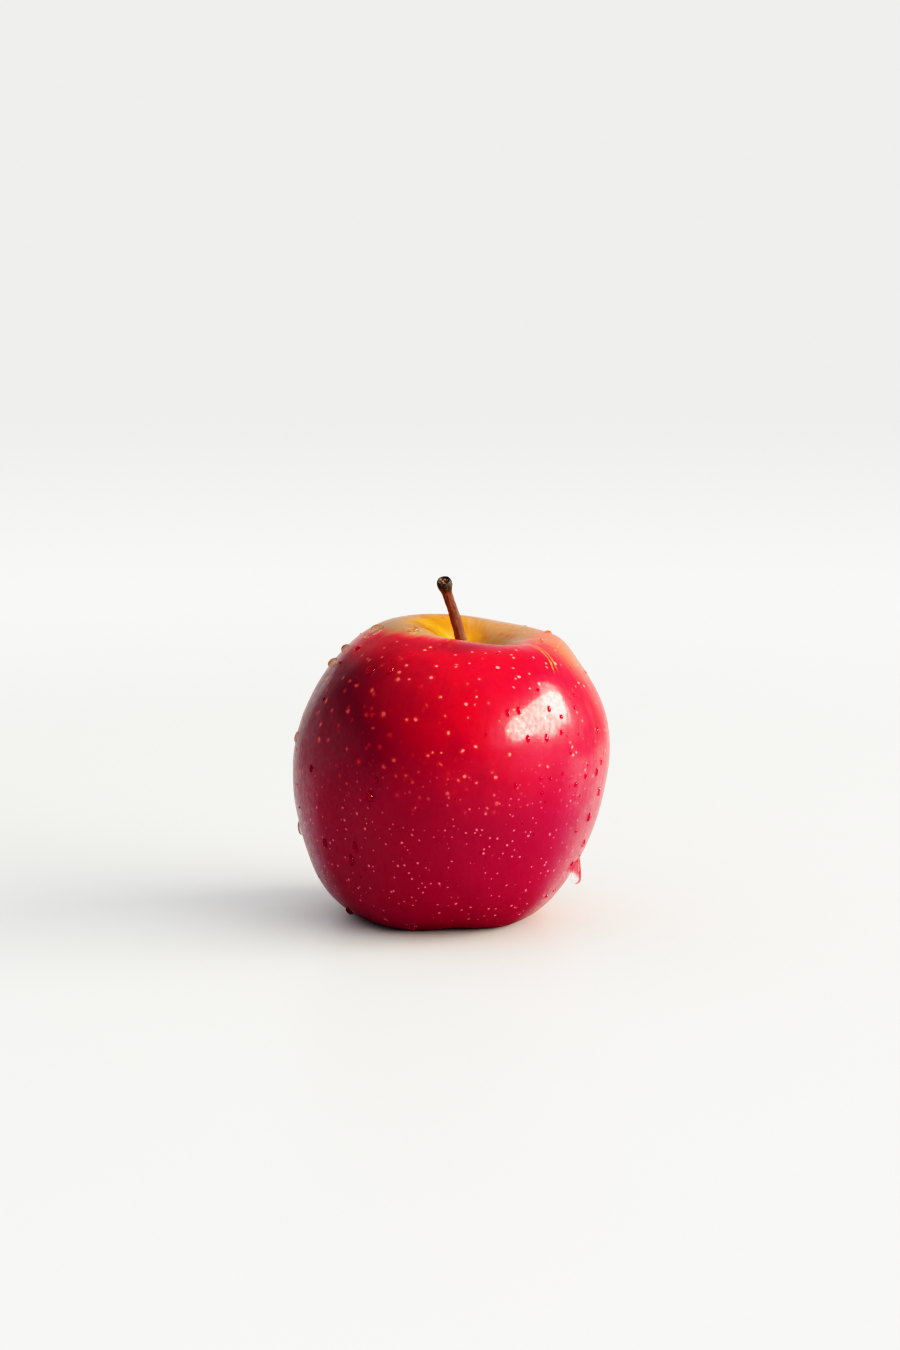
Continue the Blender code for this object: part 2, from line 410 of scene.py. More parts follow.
def dress(piece, paint, slot, *nodes):
    """Gives a finished piece its material, hangs it on the root body and hides the frame's nodes
    it stands for.
    """
    piece.data.materials.clear()
    piece.data.materials.append(paint.owner)
    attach(piece, "root")
    if nodes:
        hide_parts(*nodes)


print("materials helpers ready")

# %% [markdown]
# ## The skin
#
# A red apple isn't one red. Under the wax lie fine stripes that run from stem to
# base, and cloudy patches where the blush is thinner. The stripes are noise that
# is squeezed round the fruit and stretched along it, by way of the stored
# meridian. The patches are plain cloud noise in the object's own coordinates.

# %% Skin: the blush and its stripes
GOLD = (0.68, 0.29, 0.001)
GOLD_DEEP = (0.45, 0.15, 0.001)
TAN = (0.50, 0.245, 0.10)
RUSSET = (0.34, 0.155, 0.070)
ORANGE = (0.80, 0.15, 0.070)
SCRATCH = (0.85, 0.36, 0.03)
RED = (1.00, 0.001, 0.032)
RED_SUNNY = (0.62, 0.002, 0.036)
RED_DEEP_PAINTED_SHADE = (0.148, 0.002, 0.027)
RED_RIM_PAINTED_SHADE = (0.40, 0.015, 0.038)
CRIMSON = (0.280, 0.002, 0.045)
SALMON_AND_SHEEN = (0.95, 0.15, 0.080)
MAROON = (0.235, 0.003, 0.038)

peel = new_material("apple_skin")
mm = peel.place()
meridian = peel.vector("meridian")
fine_stripes = peel.noise(peel.scaled(meridian, (34.0, 34.0, 6.0)), 1.0, 3.0, 0.6)
broad_stripes = peel.noise(peel.scaled(meridian, (7.0, 7.0, 2.2)), 1.0, 3.0, 0.6)
clouding = peel.noise(mm, 0.11, 4.0, 0.55)

blush = peel.mix(peel.value("sunny_red"), RED, RED_SUNNY)
# Painted shade on the left cheek, partly the fruit's own deeper red.
blush = peel.mix(peel.value("deep_red_painted_shade"), blush, RED_DEEP_PAINTED_SHADE)
# Towards the base the red darkens to crimson, partly painted shade.
blush = peel.mix(peel.value("crimson"), blush, CRIMSON)
# Painted shade on the front rim of the cavity.
blush = peel.mix(peel.value("front_rim_painted_shade"), blush, RED_RIM_PAINTED_SHADE)
blush = peel.mix(peel.ramp(clouding, 0.42, 0.72, 0.0, 0.38), blush, MAROON)
blush = peel.mix(peel.ramp(fine_stripes, 0.5, 0.75, 0.0, 0.25), blush, MAROON)
grain = peel.noise(mm, 1.5, 3.0, 0.6)
blush = peel.mix(peel.ramp(grain, 0.42, 0.72, 0.0, 0.25), blush, MAROON)
# Salmon streaks and a faint salmon tint on the right flank: partly the fruit's own streaks, partly
# a painted sheen.
streaks_and_sheen = peel.times(peel.value("flank"), peel.ramp(fine_stripes, 0.57, 0.41))
blush = peel.mix(peel.times(streaks_and_sheen, 0.40), blush, SALMON_AND_SHEEN)
blush = peel.mix(peel.times(peel.value("flank"), 0.20), blush, SALMON_AND_SHEEN)
print("blush mixed from", len(peel.tree.nodes), "nodes")

# %% [markdown]
# The golden ground shows where the blush ends. Its edge isn't a line: the stripes
# carry on over it, so adding them to the stored edge before the ramp makes the
# red fray into the gold as it does on the fruit. The rim between the two is
# tan, scratched with fine russet.

# %% Skin: the golden ground, the tan rim, the orange flame and the scratches
stripe_push = peel.times(peel.math("SUBTRACT", broad_stripes, 0.5), 2.4)
fine_push = peel.times(peel.math("SUBTRACT", fine_stripes, 0.5), 1.6)
push = peel.plus(stripe_push, fine_push)
gold_share = peel.ramp(peel.plus(peel.value("gold"), push), -0.7, 0.9)
tan_share = peel.ramp(peel.plus(peel.value("tan"), push), -0.6, 0.7)
orange_frayed = peel.plus(peel.value("orange"), peel.times(push, 0.16))
orange_share = peel.ramp(orange_frayed, 0.15, 0.85, 0.0, 0.95)

russet_lines = peel.noise(peel.scaled(meridian, (60.0, 60.0, 14.0)), 1.0, 4.0, 0.65)
tan_colour = peel.mix(peel.ramp(russet_lines, 0.48, 0.7, 0.0, 0.75), TAN, RUSSET)
gold_colour = peel.mix(peel.ramp(clouding, 0.35, 0.65), GOLD, GOLD_DEEP)
ground = peel.mix(orange_share, blush, ORANGE)
ground = peel.mix(tan_share, ground, tan_colour)
ground = peel.mix(gold_share, ground, gold_colour)

off_scratch = peel.plus(peel.value("off_scratch"), peel.times(fine_push, 1.6))
scratches = peel.math("ABSOLUTE", peel.math("SUBTRACT", peel.math("ABSOLUTE", off_scratch), 1.6))
scratch_share = peel.times(peel.ramp(scratches, 0.75, 0.25), peel.value("scratch_stretch"))
ground = peel.mix(peel.times(scratch_share, 0.65), ground, SCRATCH)
print("ground colours laid over the blush")

# %% [markdown]
# The pale freckles are lenticels, the pores through which the skin breathes.
# Near the stem they are large, tan and far apart. Towards the base they are tiny,
# pink and close together. Points scattered through space, with a dot where
# the skin passes near one, give round dots of naturally uneven size.

# %% Skin: the pores
wander = peel.node("TexNoise", {"Vector": mm, "Scale": 1.1, "Detail": 1.0}).outputs["Color"]
jitter = peel.node("VectorMath", {0: wander, 1: (0.5, 0.5, 0.5)}, operation="SUBTRACT")
jitter = peel.node("VectorMath", {0: jitter.outputs[0], "Scale": 0.35}, operation="SCALE")
uneven = peel.node("VectorMath", {0: mm, 1: jitter.outputs[0]}, operation="ADD").outputs[0]

LARGE_CELL = 2.8            # mm between scattered points, near the stem
SMALL_CELL = 1.7            # and towards the base
large = peel.times(peel.cells(uneven, 1.0 / LARGE_CELL), LARGE_CELL)
large = peel.times(large, peel.ramp(peel.noise(mm, 0.37), 0.35, 0.65, 0.78, 1.55))
small = peel.times(peel.cells(uneven, 1.0 / SMALL_CELL, 0.8), SMALL_CELL)
small = peel.times(small, peel.ramp(peel.noise(mm, 0.55), 0.35, 0.65, 0.80, 1.45))
way_along = peel.node("SeparateXYZ", {0: meridian}).outputs["Z"]
upper_part = peel.ramp(way_along, 0.56, 0.38)
outside_cavity = peel.ramp(way_along, 0.13, 0.18)
lower_part = peel.ramp(way_along, 0.38, 0.62)

large_dot = peel.times(peel.ramp(large, 0.54, 0.27), upper_part)
large_dot = peel.times(large_dot, outside_cavity)
small_dot = peel.times(peel.ramp(small, 0.34, 0.20), lower_part)
halo = peel.times(peel.ramp(large, 1.0, 0.4, 0.0, 0.35), upper_part)

PORE_TAN = (0.76, 0.36, 0.20)
PORE_CREAM = (0.88, 0.33, 0.27)
PORE_PINK = (0.92, 0.20, 0.24)
HALO_RED = (0.75, 0.03, 0.03)
colour = peel.mix(halo, ground, HALO_RED)
pore_kind = peel.ramp(peel.noise(mm, 0.3), 0.42, 0.58)
# The pores are dimmed in the painted shade of the left cheek as well.
pore_share = peel.times(large_dot, peel.ramp(peel.value("deep_red_painted_shade"), 0.35, 0.9, 0.8, 0.27))
colour = peel.mix(pore_share, colour, peel.mix(pore_kind, PORE_TAN, PORE_CREAM))
colour = peel.mix(peel.times(small_dot, 0.75), colour, PORE_PINK)
print("pores added")

# %% [markdown]
# Wax gives the skin its shine, as a clear coat that is thin in the cavity. Under
# it the skin has the faint pebbling of orange peel, and low ripples run from stem
# to base. Both break up the edge of every reflection. They and the slightly raised
# pores are bumps of a few hundredths of a millimetre.

# %% Skin: pebbling, wax and gloss
pebbles = peel.noise(mm, 0.85, 4.0, 0.6)
ripples = peel.noise(peel.scaled(meridian, (26.0, 26.0, 7.0)), 1.0, 2.0, 0.5)
height = peel.times(pebbles, 0.030)
height = peel.plus(height, peel.times(ripples, 0.034))
height = peel.plus(height, peel.times(large_dot, 0.020))
height = peel.plus(height, peel.times(small_dot, 0.008))
gloss = peel.ramp(peel.noise(mm, 0.4, 3.0, 0.6), 0.3, 0.7, 0.32, 0.42)
gloss = peel.plus(gloss, peel.times(large_dot, 0.2))
gloss = peel.plus(gloss, peel.times(gold_share, 0.2))
wax = peel.ramp(peel.noise(mm, 2.1, 3.0, 0.65), 0.34, 0.60, 0.58, 1.0)
wax = peel.times(wax, peel.ramp(peel.noise(mm, 0.95, 2.0, 0.5), 0.40, 0.60, 0.64, 1.0))
wax = peel.times(wax, peel.ramp(peel.noise(mm, 0.24, 3.0, 0.6), 0.35, 0.60, 0.80, 1.0))
wax = peel.times(wax, peel.ramp(fine_stripes, 0.66, 0.46, 0.75, 1.0))
wax = peel.times(wax, peel.ramp(gold_share, 0.0, 1.0, 1.0, 0.25))
peel.finish(base_color=colour, roughness=gloss, normal=peel.bump(height), ior=1.45,
            specular_ior_level=0.32, specular_tint=(1.0, 0.93, 0.82, 1.0),
            coat_weight=wax, coat_roughness=0.13, coat_ior=1.65)
dress(skin, peel, "apple_skin", "fruit")
print("skin finished with", len(peel.tree.nodes), "nodes")

# %% [markdown]
# ## The stem
#
# The stem is a bent twig. At its foot it flares into the flesh, and at its top it
# ends in a knob, where it broke from the spur: a dark rim round a cut face with
# a paler pith. It is easiest to model straight, where every ring is level, and
# to bend afterwards along a curve. The straight shape is a cylinder, cut into
# rings that are then scaled one by one.

# %% Stem: a straight twig with a knob
STEM_PATH_MM = (            # centre line, from the middle of the cavity floor
    (-0.5, 0.2, -1.2), (-0.6, 0.2, 1.0), (-1.4, 0.1, 3.8), (-2.1, 0.0, 6.6),
    (-3.0, -0.6, 10.9), (-4.5, -2.0, 15.4), (-5.5, -3.3, 18.8), (-6.1, -4.4, 21.0),
    (-6.4, -5.4, 22.5))
STEM_RINGS_MM = (           # distance along the stem, and radius there
    (0.0, 2.3), (1.4, 2.0), (2.2, 1.66), (3.2, 1.52), (5.5, 1.46), (8.0, 1.46), (10.5, 1.36),
    (13.0, 1.40), (16.0, 1.29), (19.0, 1.30), (21.0, 1.34), (21.9, 1.52), (22.7, 1.86),
    (23.7, 1.94), (24.6, 1.70))
STEM_SIDES = 20
KNOB_LONG = 2.9 * MM        # the knob takes up this much of the stem's end
steps = zip(STEM_PATH_MM, STEM_PATH_MM[1:])
path_length = sum((Vector(b) - Vector(a)).length for a, b in steps) * MM
stem_length = STEM_RINGS_MM[-1][0] * MM

bpy.ops.object.select_all(action="DESELECT")
bpy.ops.mesh.primitive_cylinder_add(vertices=STEM_SIDES, radius=1.0 * MM, depth=stem_length,
                                    location=(0.0, 0.0, stem_length / 2.0))
stem = name_new("woody_stem")
only(stem)
bpy.ops.object.transform_apply(location=True, rotation=True, scale=True)
edit(stem)
for along, _ in STEM_RINGS_MM[1:-1]:
    bpy.ops.mesh.select_all(action="SELECT")
    bpy.ops.mesh.bisect(plane_co=(0.0, 0.0, along * MM), plane_no=(0.0, 0.0, 1.0))
for along, radius in STEM_RINGS_MM:
    pick(lambda place: abs(place.z - along * MM) < 0.01 * MM)
    bpy.ops.transform.resize(value=(radius, radius, 1.0), center_override=(0.0, 0.0, along * MM))
print("path", round(path_length / MM, 2), "mm, stem", round(stem_length / MM, 2), "mm")

# %% Stem: the cut face
TOP = stem_length - 0.01 * MM
CUT_STEPS_MM = (            # how far each step goes in, and then up or down
    (0.30, 0.12), (0.25, -0.55), (0.45, -0.05), (0.15, 0.22), (0.20, 0.06))
pick(lambda place: place.z > TOP)
for inward, up in CUT_STEPS_MM:
    bpy.ops.mesh.inset(thickness=inward * MM, depth=up * MM)
print("cut face: a raised rim, a hollow ring and the pith")

# %% Stem: ridges and lumps of bark, while it is still straight
for side in range(0, STEM_SIDES, 4):
    angle = math.tau * side / STEM_SIDES
    groove = Vector((math.sin(angle), math.cos(angle), 0.0))
    pick(lambda place: place.xy.length > 1.1 * MM and place.z < stem_length - 0.8 * KNOB_LONG
         and place.xy.normalized().dot(groove.xy) > 0.99)
    bpy.ops.transform.resize(value=(0.90, 0.90, 1.0), center_override=(0.0, 0.0, 0.0))
use_modifier(stem, "SUBSURF", levels=3, render_levels=3)
use_modifier(stem, "DISPLACE", texture=clouds("bark_lumps", 2.2 * MM), strength=0.22 * MM)
use_modifier(stem, "DISPLACE", texture=clouds("bark_grit", 0.5 * MM), strength=0.05 * MM)
straight = places(stem) / MM
store(stem, "grain", straight)
from_end = stem_length / MM - straight[:, 2]
off_axis = np.hypot(straight[:, 0], straight[:, 1])
store(stem, "knob", ease(from_end, 3.6, 2.2))
store(stem, "cut", ease(from_end, 1.1, 0.5) * (1.0 - ease(off_axis, 0.95, 1.25)))
print("stem vertices", len(straight))

# %% Stem: bend it along its path
bpy.ops.object.select_all(action="DESELECT")
bpy.ops.curve.primitive_nurbs_path_add()
bend = bpy.context.object
bend.data.twist_mode = "MINIMUM"
bend.data.splines.clear()
line = bend.data.splines.new("NURBS")
line.points.add(len(STEM_PATH_MM) - 1)
line.order_u = 4
line.use_endpoint_u = True
for point, place in zip(line.points, STEM_PATH_MM):
    point.co = (*(cavity_floor + Vector(place) * MM), 1.0)
bend.location = (0.0, 0.0, 0.0)
use_modifier(stem, "CURVE", object=bend, deform_axis="POS_Z")
bpy.data.objects.remove(bend)
bpy.ops.object.shade_smooth()
stem_places = places(stem) / MM

# %% [markdown]
# Bark this young is smooth, reddish brown and drawn out along the twig. The grain
# was stored while the stem was straight, so noise that is stretched along it now
# follows the bend. The knob is nearly black, tan where its rim is rubbed, and
# the cut face shows brown wood with a pale pith.

# %% Stem: the bark
BARK = (0.20, 0.068, 0.045)
BARK_DARK = (0.11, 0.034, 0.022)
BARK_WARM = (0.18, 0.042, 0.004)
KNOB = (0.032, 0.022, 0.019)
KNOB_WORN = (0.36, 0.22, 0.10)
CUT_WOOD = (0.12, 0.045, 0.018)
PITH = (0.62, 0.42, 0.26)

bark = new_material("stem_bark")
grain = bark.vector("grain")
fibres = bark.noise(bark.scaled(grain, (2.6, 2.6, 0.35)), 1.0, 4.0, 0.6)
patches = bark.noise(bark.scaled(grain, (0.7, 0.7, 0.28)), 1.0, 3.0, 0.5)
grit = bark.noise(grain, 3.0, 3.0, 0.6)
height_up = bark.node("SeparateXYZ", {0: grain}).outputs["Z"]
wood = bark.mix(bark.ramp(fibres, 0.4, 0.65), BARK, BARK_DARK)
warm_share = bark.times(bark.ramp(patches, 0.4, 0.7), bark.ramp(height_up, 14.0, 3.0))
wood = bark.mix(warm_share, wood, BARK_WARM)
knob_colour = bark.mix(bark.ramp(grit, 0.55, 0.72), KNOB, KNOB_WORN)
wood = bark.mix(bark.value("knob"), wood, knob_colour)
cut_colour = bark.mix(bark.ramp(bark.noise(grain, 2.2, 2.0), 0.5, 0.66), CUT_WOOD, PITH)
wood = bark.mix(bark.value("cut"), wood, cut_colour)
relief = bark.plus(bark.times(fibres, 0.10), bark.times(grit, 0.05))
bark.finish(base_color=wood, roughness=bark.ramp(fibres, 0.3, 0.7, 0.45, 0.65),
            normal=bark.bump(relief), ior=1.45, coat_weight=0.12, coat_roughness=0.3)
dress(stem, bark, "stem_bark", "stem")
print("stem finished")

# %% [markdown]
# ## What is left of the blossom
#
# In the basin under the fruit sit five dried sepals, the green leaves that once
# closed the bud. They are papery, brown, and curl outwards. The frame's blades
# are right in place and size, so each is copied, subdivided and wrinkled.
# Wrinkles from a cloud in space differ from blade to blade.

# %% Sepals: five dried blades
crumple = clouds("sepal_crumple", 1.3 * MM)
sepals = []
for index in range(1, 6):
    node_name = f"sepal_{index}"
    blade = copy_node(node_name, f"dry_{node_name}")
    use_modifier(blade, "SUBSURF", levels=2, render_levels=2)
    use_modifier(blade, "DISPLACE", texture=crumple, strength=0.35 * MM)
    bpy.ops.object.shade_smooth()
    sepals.append(blade)
print("sepals", len(sepals), "with", len(sepals[0].data.polygons), "faces each")

# %% [markdown]
# Between the sepals stands a tuft of dry stamens: thin threads, each with a
# shrivelled anther at its end. One is made from a slim cone and a small ball,
# and copies lean out from the middle at seeded angles.

# %% Stamens: a tuft of threads
tuft_low, tuft_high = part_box("stamen_tuft")
tuft_top = Vector(((tuft_low.x + tuft_high.x) / 2.0, (tuft_low.y + tuft_high.y) / 2.0,
                   tuft_high.z))
thread_length = tuft_high.z - tuft_low.z - 0.3 * MM

bpy.ops.mesh.primitive_cone_add(vertices=6, radius1=0.10 * MM, radius2=0.05 * MM,
                                depth=thread_length, location=(0.0, 0.0, -thread_length / 2.0),
                                rotation=(math.pi, 0.0, 0.0))
thread = name_new("stamen")
bpy.ops.mesh.primitive_uv_sphere_add(segments=6, ring_count=4, radius=0.16 * MM,
                                     location=(0.0, 0.0, -thread_length))
anther = bpy.context.object
anther.scale = (1.0, 0.7, 1.5)
anther.select_set(True)
thread.select_set(True)
bpy.context.view_layer.objects.active = thread
bpy.ops.object.join()
only(thread)
bpy.ops.object.transform_apply(location=True, rotation=True, scale=True)

dice = random.Random(11)
THREADS = 26
GOLDEN_SHARE = 0.381966     # of a turn, from one thread to the next: it spaces them evenly
TUFT_RADIUS = 0.62 * MM
TUFT_LEAN = 16.0            # degrees, at the edge of the tuft
tuft = []
for index in range(THREADS):
    copy = bpy.data.objects.new(f"stamen_{index}", thread.data.copy())
    bpy.context.scene.collection.objects.link(copy)
    turn = math.tau * index * GOLDEN_SHARE
    spread = math.sqrt((index + 0.5) / THREADS)
    lean = Matrix.Rotation(math.radians(TUFT_LEAN * spread + dice.uniform(-3.0, 3.0)), 4, "Y")
    shift = Matrix.Translation(Vector((TUFT_RADIUS * spread, 0.0, 0.0)))
    size = Matrix.Scale(dice.uniform(0.80, 0.97), 4)
    copy.data.transform(Matrix.Translation(tuft_top) @ Matrix.Rotation(turn, 4, "Z")
                        @ shift @ lean.inverted() @ size)
    tuft.append(copy)
stamens = join_all(tuft, "dry_stamens")
bpy.ops.object.shade_smooth()
bpy.data.objects.remove(thread)
stamen_places = places(stamens) / MM
print("tuft box in mm", stamen_places.min(0).round(1), stamen_places.max(0).round(1))

# %% Blossom: dry, papery brown
PAPER = (0.20, 0.105, 0.050)
PAPER_DARK = (0.050, 0.026, 0.015)
PAPER_PALE = (0.40, 0.27, 0.15)

dry = new_material("dried_blossom")
mm = dry.place()
veins = dry.noise(dry.place((1500.0, 1500.0, 500.0)), 1.0, 4.0, 0.6, 0.6)
blotches = dry.noise(mm, 0.8, 3.0, 0.6)
paper = dry.mix(dry.ramp(veins, 0.38, 0.62), PAPER, PAPER_DARK)
paper = dry.mix(dry.ramp(blotches, 0.52, 0.72, 0.0, 0.7), paper, PAPER_PALE)
dry.finish(base_color=paper, roughness=dry.ramp(blotches, 0.3, 0.7, 0.75, 0.95),
           normal=dry.bump(dry.times(veins, 0.12)), ior=1.4)
for index, blade in enumerate(sepals, start=1):
    dress(blade, dry, "dried_blossom", f"sepal_{index}")
dress(stamens, dry, "dried_blossom", "stamen_tuft")
print("blossom finished")

# %% [markdown]
# ## Drops of water
#
# On wax, water stands up in beads. Small ones are nearly round caps. Large ones
# hang lower on one side, because they are about to run. Skin that is wet doesn't
# shine, since water hides its gloss, and that is why a bead looks like a dark red
# spot where the window is mirrored beside it. So a bead is the upper half of a
# ball, closed underneath by a flat face that gets the skin's own colours without
# their shine. One is modelled, and a coarser one for the fine spatter. Copies are
# then sized, stretched down the slope and set square to the skin.

# %% Water: one bead, and a small one
def make_bead(name, segments, rings):
    """The upper half of a ball of width 1, a little flattened, with a closed base."""
    bpy.ops.object.select_all(action="DESELECT")
    bpy.ops.mesh.primitive_uv_sphere_add(segments=segments, ring_count=rings, radius=0.5)
    piece = name_new(name)
    edit(piece)
    bpy.ops.transform.resize(value=(1.0, 1.0, 0.80), center_override=(0.0, 0.0, 0.0))
    pick(lambda place: place.z < -0.001)
    bpy.ops.mesh.delete(type="VERT")
    pick(lambda place: place.z < 0.001)
    bpy.ops.mesh.edge_face_add()
    bpy.ops.mesh.select_all(action="SELECT")
    bpy.ops.mesh.normals_make_consistent(inside=False)
    only(piece)
    bpy.ops.object.shade_smooth_by_angle(angle=math.radians(40.0))
    print(name, "has", len(piece.data.polygons), "faces, for a width of 1")
    return piece


bead = make_bead("bead", 24, 12)
small_bead = make_bead("small_bead", 12, 6)

# %% Water: set a bead on the skin
LIFT = 0.02 * MM            # keeps a bead's flat base just clear of the round skin


def set_bead(turn, down, width, stretch=1.0, sag=0.0, pattern=bead):
    """A bead on the skin, at a bearing and at an angle down from the top, both from the heart.

    Width is in mm. Stretch draws it out down the slope, and sag moves its belly that way.
    """
    turn, down = math.radians(turn), math.radians(down)
    direction = Vector((math.sin(down) * math.cos(turn), math.sin(down) * math.sin(turn),
                        math.cos(down)))
    _, place, normal, _ = skin.ray_cast(HEART, direction)
    slope = Vector((0.0, 0.0, -1.0)) + normal * normal.z
    slope = slope.normalized() if slope.length > 0.05 else Vector((1.0, 0.0, 0.0))
    side = normal.cross(slope).normalized()
    drop = bpy.data.objects.new("drop", pattern.data.copy())
    bpy.context.scene.collection.objects.link(drop)
    for vert in drop.data.vertices:
        x, y, z = vert.co
        tail = 1.0 - 0.35 * sag * (0.5 - x)
        vert.co = (x * stretch + sag * 0.25 * max(z, 0.0), y * tail, z * (tail if z > 0 else 1.0))
    frame_of_bead = Matrix((slope, side, normal)).transposed().to_4x4()
    size = Matrix.Scale(width * MM, 4)
    drop.data.transform(Matrix.Translation(place + normal * LIFT) @ frame_of_bead @ size)
    return drop


print("bead tool ready")

# %% [markdown]
# The largest beads are listed one by one. Each row gives a bearing (0 is to the
# right, minus 90 to the front), an angle down from the top, and a width in mm, and
# where it matters a stretch down the slope and a sag.

# %% Water: the beads that are listed one by one
LEFT_SHOULDER = (
    (-173, 27.5, 3.4, 1.1, 0.3), (176, 41.0, 2.4, 1.0, 0.2), (179, 47.5, 2.6, 1.1, 0.5),
    (-172, 32.0, 1.7), (-160, 37.5, 1.5), (-170, 45.5, 1.3), (-136, 19.5, 2.9, 0.9, 0.2),
    (-130, 46.0, 2.5, 1.1, 0.2), (-119, 45.0, 1.5, 2.2, 0.3), (-122, 41.0, 0.9),
    (-113, 36.5, 0.8))
RIGHT_SHOULDER = (
    (-69, 61.0, 1.1, 1.7, 0.5), (-64.5, 60.5, 1.2, 1.7, 0.5), (-51, 61.0, 1.0, 1.6, 0.4),
    (-45.5, 64.0, 1.0, 1.2), (-62, 69.5, 1.2, 1.5, 0.6), (-54, 70.0, 1.1, 1.9, 0.6),
    (-46.8, 69.0, 0.9, 1.5), (-54, 54.5, 1.0, 0.9), (-36, 62.0, 0.8), (-33, 58.0, 0.7, 1.4),
    (13.8, 36.7, 1.7, 1.1, 0.2), (-23, 71.7, 1.0, 1.8), (-21.7, 83.1, 0.8, 2.2))
LEFT_FLANK = (
    (-120, 89.5, 2.5, 1.0, 0.3), (-131, 114.5, 1.8, 1.7, 0.5), (-144, 110.0, 1.6, 1.5, 0.4),
    (-128, 109.0, 1.3, 2.0, 0.5), (-117, 83.5, 1.0, 1.6), (-176, 111.0, 2.0, 1.8, 0.8),
    (-175, 77.0, 1.3, 2.2, 0.3), (-157, 141.0, 2.0, 1.2), (-150, 84.0, 1.1, 1.6),
    (-112, 144.5, 2.4))
RIGHT_FLANK = (
    (-67, 85.0, 1.0, 1.2), (-56, 89.0, 1.1, 1.1), (-57, 83.5, 0.8, 1.3), (-53, 84.0, 0.8),
    (-26, 103.0, 1.3, 1.7, 0.4), (-20, 115.0, 1.1, 1.8, 0.4), (-34, 107.0, 0.8),
    (-26, 86.0, 1.1, 1.8),
    (-34.5, 86.0, 0.9, 1.4), (-20, 94.5, 1.1, 2.0, 0.4), (-28, 134.0, 0.8), (-35, 135.0, 0.9),
    (-24, 123.0, 1.0, 1.2), (-65, 140.0, 0.9), (-40, 88.0, 0.9, 1.4), (-43, 76.5, 0.8, 0.8))
by_hand = [set_bead(*row) for row in LEFT_SHOULDER + RIGHT_SHOULDER + LEFT_FLANK + RIGHT_FLANK]
print("beads set by hand:", len(by_hand))

# %% [markdown]
# The rest of the fruit is just as wet. A seeded scatter adds larger beads at the
# back, and a fine spatter all over. Each new bead keeps clear of the others.

# %% Water: the scattered beads
dice = random.Random(29)
BACK_BEADS = 34
SPATTER = 90
spots_taken = [sum((vert.co for vert in drop.data.vertices), Vector()) / len(drop.data.vertices)
               for drop in by_hand]


def scatter(count, turns, heights, widths, apart, pattern):
    """Beads at seeded bearings and heights, each at least this many mm from the others."""
    made = []
    while len(made) < count:
        turn = dice.uniform(*turns)
        down = math.degrees(math.acos(dice.uniform(*heights)))
        width = dice.uniform(*widths) * dice.choice((0.7, 1.0, 1.0))
        drop = set_bead(turn, down, width, dice.uniform(1.0, 1.7), dice.uniform(0.0, 0.5), pattern)
        place = drop.data.vertices[0].co.copy()
        if min((place - other).length for other in spots_taken) < apart * MM:
            bpy.data.objects.remove(drop)
            continue
        spots_taken.append(place)
        made.append(drop)
    return made


back = scatter(BACK_BEADS, (14.0, 170.0), (-0.72, 0.55), (1.0, 2.6), 4.0, bead)
spatter = scatter(SPATTER, (-180.0, 180.0), (-0.72, 0.86), (0.35, 0.7), 2.0, small_bead)
beads = join_all(by_hand + back, "water_beads")
mist = join_all(spatter, "water_spatter")
bpy.data.objects.remove(bead)
bpy.data.objects.remove(small_bead)
print("beads at the back:", len(back), "spatter:", len(spatter))

# %% [markdown]
# Low on the right a drop is about to fall. It clings to the skin by its side and
# bulges at its lower end. A ball gives it: the upper half is drawn up to a thin
# neck, and the lower half stays round. Where it would sink into the fruit, it is
# pressed flat against the skin, and there it gets wet skin as the beads do.

# %% Water: the hanging drop
DROP_TOP = Vector((31.0, -6.4, 16.2)) * MM
DROP_BOTTOM = Vector((30.3, -6.9, 8.9)) * MM
DROP_WIDTH = 2.7 * MM
drop_length = (DROP_TOP - DROP_BOTTOM).length
bpy.ops.object.select_all(action="DESELECT")
bpy.ops.mesh.primitive_uv_sphere_add(segments=24, ring_count=16, radius=DROP_WIDTH / 2.0,
                                     location=DROP_BOTTOM + Vector((0.0, 0.0, DROP_WIDTH / 2.0)))
pendant = name_new("hanging_drop")
only(pendant)
bpy.ops.object.transform_apply(location=True, rotation=True, scale=True)
edit(pendant)
belly = DROP_BOTTOM.z + DROP_WIDTH / 2.0
stretch_up = (DROP_TOP.z - belly) / (DROP_WIDTH / 2.0)
pick(lambda place: place.z > belly + 0.001 * MM)
bpy.ops.transform.resize(value=(1.0, 1.0, stretch_up),
                         center_override=(DROP_BOTTOM.x, DROP_BOTTOM.y, belly))
LEVELS = 5
NARROWING = 0.90            # from one level of the neck to the next
for level in range(1, LEVELS + 1):
    from_height = belly + (DROP_TOP.z - belly) * level / (LEVELS + 1)
    pick(lambda place: place.z > from_height)
    bpy.ops.transform.resize(value=(NARROWING, NARROWING, 1.0),
                             center_override=(DROP_BOTTOM.x, DROP_BOTTOM.y, from_height))
    bpy.ops.transform.translate(value=((DROP_TOP.x - DROP_BOTTOM.x) / LEVELS,
                                       (DROP_TOP.y - DROP_BOTTOM.y) / LEVELS, 0.0))
use_modifier(pendant, "SUBSURF", levels=1, render_levels=1)
TOUCH = 0.15 * MM           # what comes nearer to the skin than this is pressed on to it
touching = set()
for vert in pendant.data.vertices:
    _, place, normal, _ = skin.closest_point_on_mesh(vert.co)
    if (vert.co - place).dot(normal) < TOUCH:
        vert.co = place + normal * LIFT
        touching.add(vert.index)
bpy.ops.object.shade_smooth_by_angle(angle=math.radians(40.0))
spots = places(pendant) / MM
